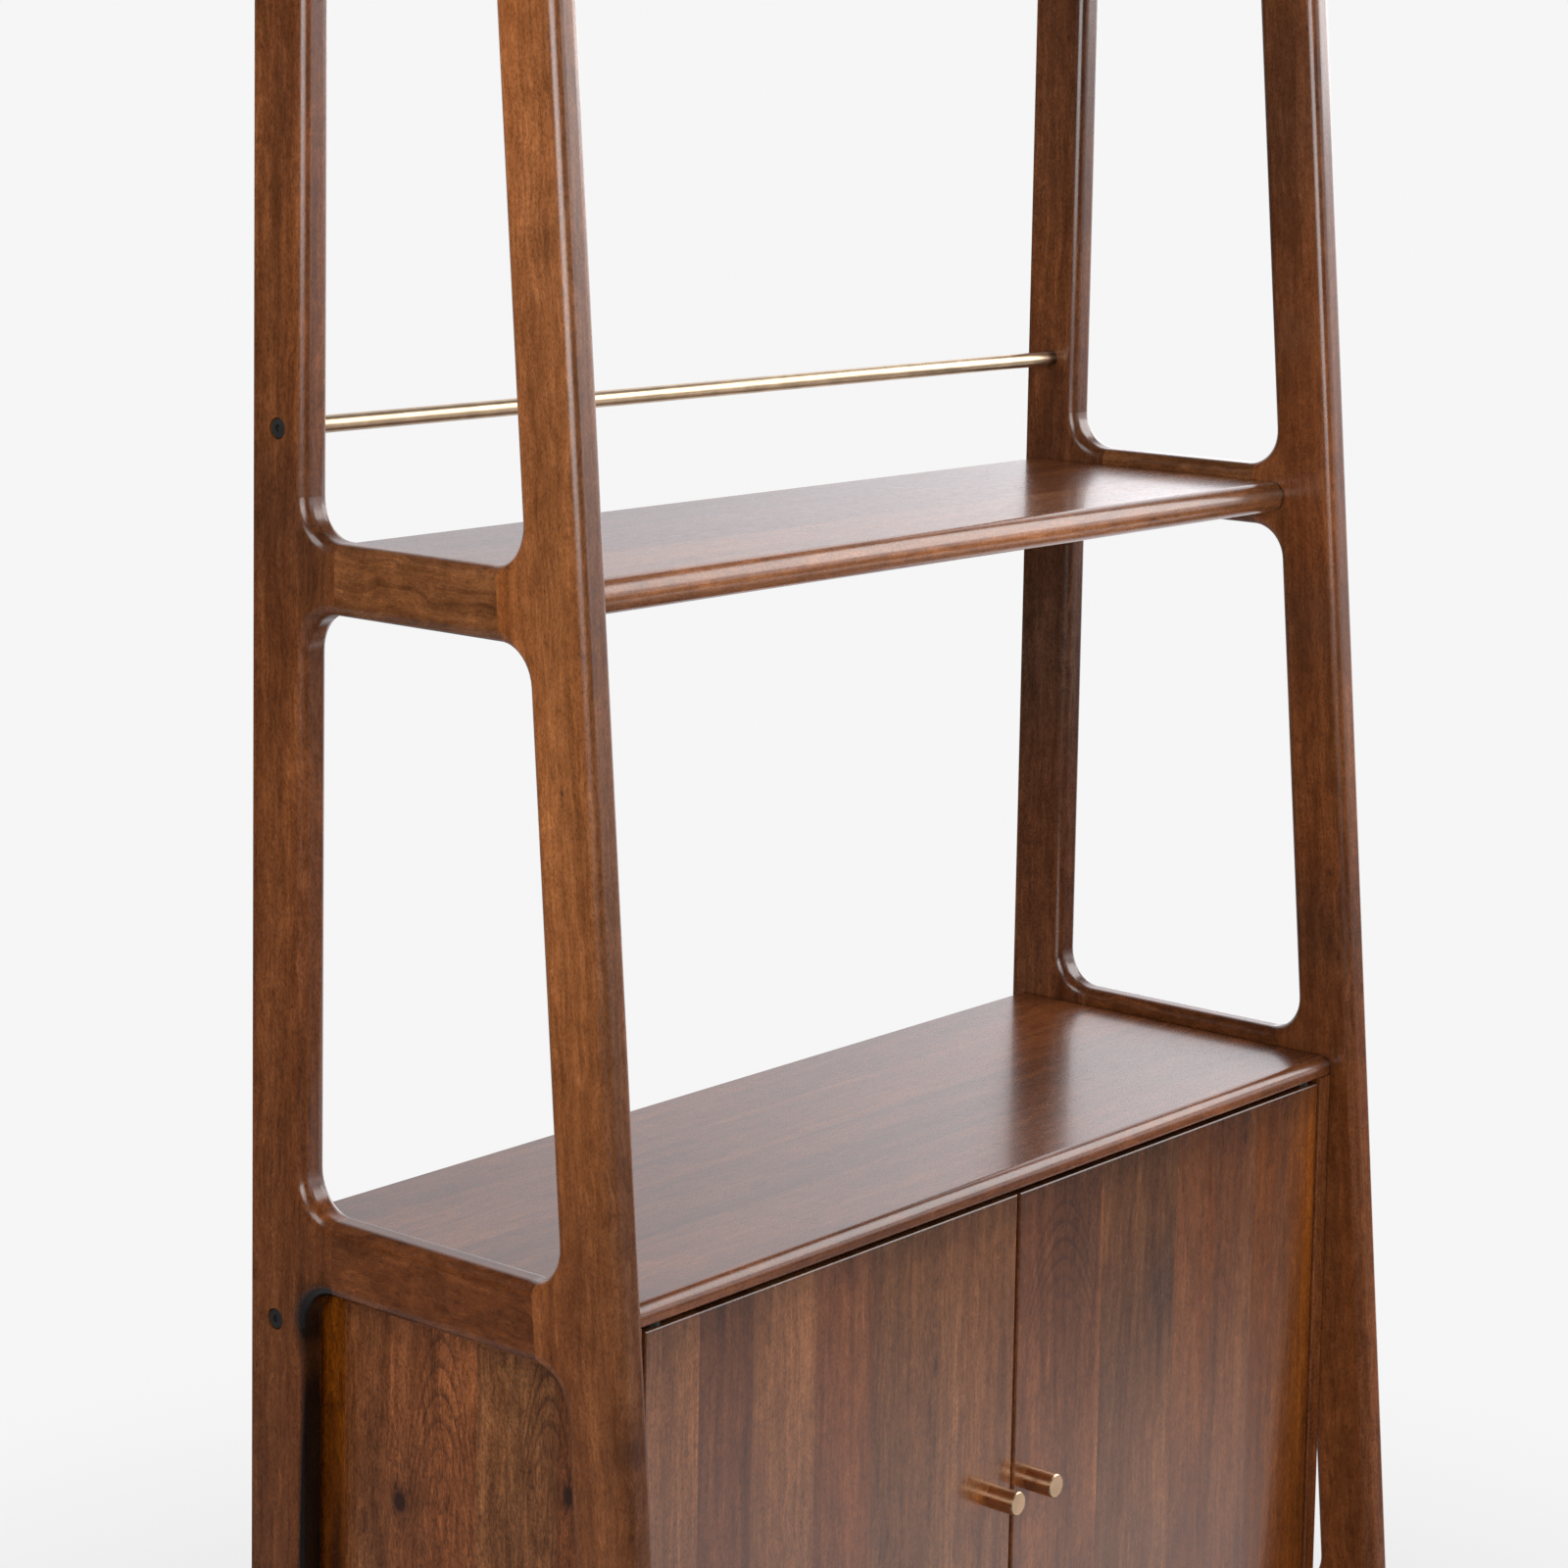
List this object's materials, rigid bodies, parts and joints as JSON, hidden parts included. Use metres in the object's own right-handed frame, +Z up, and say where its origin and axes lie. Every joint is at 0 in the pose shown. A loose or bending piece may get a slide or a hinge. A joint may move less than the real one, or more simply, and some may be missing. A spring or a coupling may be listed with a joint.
{
  "type": "ladder bookcase",
  "caption": "Free-standing ladder bookcase of dark wood: leaning side frames with rounded openings, open shelves with brass rails at the back, and a cabinet with swinging doors below.",
  "frame": {"origin": "on the floor, in the middle of the footprint", "axes": "+X along the width to the right as seen from the front, +Y to the back, +Z up"},
  "size_m": [0.9, 0.39, 1.992],
  "materials": {
    "frame_wood": "satin lacquer over walnut stain",
    "panel_wood": "satin lacquer over walnut stain, glued staves",
    "plywood": "stained veneer, matt",
    "dowel_wood": "plain beech, unfinished",
    "brass": "satin",
    "black_steel": "blackened, low sheen",
    "bright_steel": "zinc plated",
    "nylon": "matt black",
    "catch_plastic": "matt brown"
  },
  "bodies": {
    "bookcase": {"board_dowels": "dowel_wood", "cabinet_back": "plywood", "cabinet_bolts": "black_steel", "cabinet_bottom": "panel_wood", "cabinet_dowels": "dowel_wood", "cabinet_left_side": "panel_wood", "cabinet_right_side": "panel_wood", "cabinet_spacers": "nylon", "cabinet_top": "panel_wood", "door_catch": "catch_plastic", "foot_glides": "nylon", "inner_shelf": "panel_wood", "inner_shelf_pins": "bright_steel", "left_back_post": "frame_wood", "left_cabinet_rung": "frame_wood", "left_door_pivots": "bright_steel", "left_front_leg": "frame_wood", "left_lower_rung": "frame_wood", "left_middle_rung": "frame_wood", "left_top_rung": "frame_wood", "left_upper_rung": "frame_wood", "middle_rail": "brass", "middle_shelf": "panel_wood", "rail_bolts": "black_steel", "right_back_post": "frame_wood", "right_cabinet_rung": "frame_wood", "right_door_pivots": "bright_steel", "right_front_leg": "frame_wood", "right_lower_rung": "frame_wood", "right_middle_rung": "frame_wood", "right_top_rung": "frame_wood", "right_upper_rung": "frame_wood", "top_shelf": "panel_wood", "upper_rail": "brass", "upper_shelf": "panel_wood"},
    "left_door": {"left_door": "panel_wood", "left_knob": "brass", "left_knob_screw": "bright_steel", "left_door_bushes": "brass", "left_strike_plate": "bright_steel"},
    "right_door": {"right_door": "panel_wood", "right_knob": "brass", "right_knob_screw": "bright_steel", "right_door_bushes": "brass", "right_strike_plate": "bright_steel"}
  },
  "joints": [
    {"name": "left_door_hinge", "type": "hinge", "parent": "bookcase", "child": "left_door", "pos_m": [-0.3888, -0.11899, 0.36275], "axis": [0, 0, -1], "range_deg": [0, 100]},
    {"name": "right_door_hinge", "type": "hinge", "parent": "bookcase", "child": "right_door", "pos_m": [0.3888, -0.11899, 0.36275], "axis": [0, 0, 1], "range_deg": [0, 100]}
  ]
}
